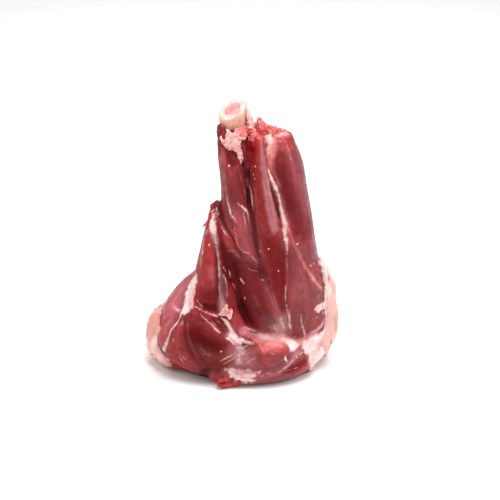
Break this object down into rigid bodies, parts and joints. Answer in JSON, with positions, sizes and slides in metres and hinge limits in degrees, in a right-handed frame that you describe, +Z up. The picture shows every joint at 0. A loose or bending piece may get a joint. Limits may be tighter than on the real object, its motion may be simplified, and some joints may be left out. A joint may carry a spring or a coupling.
{
  "type": "raw lamb shank",
  "caption": "Raw lamb shank standing on its cut face, with a sawn shin bone, bellies of lean muscle and a fat cover at the back.",
  "frame": {"origin": "middle of the underside, on the surface that the shank stands on", "axes": "+Z up along the bone to the sawn end, +X to the right of the front view, +Y to the fat cover at the back"},
  "size_m": [0.1096, 0.0822, 0.1526],
  "materials": {
    "muscle": "wet raw red muscle with fibre grain and silverskin",
    "fat": "satin creamy pink raw fat",
    "bone": "sawn bone, pale rim and cream sides",
    "marrow": "soft pink marrow"
  },
  "bodies": {
    "root": {"meat": "muscle", "fat_cover": "fat", "shin_bone": "bone", "marrow": "marrow"}
  },
  "joints": []
}
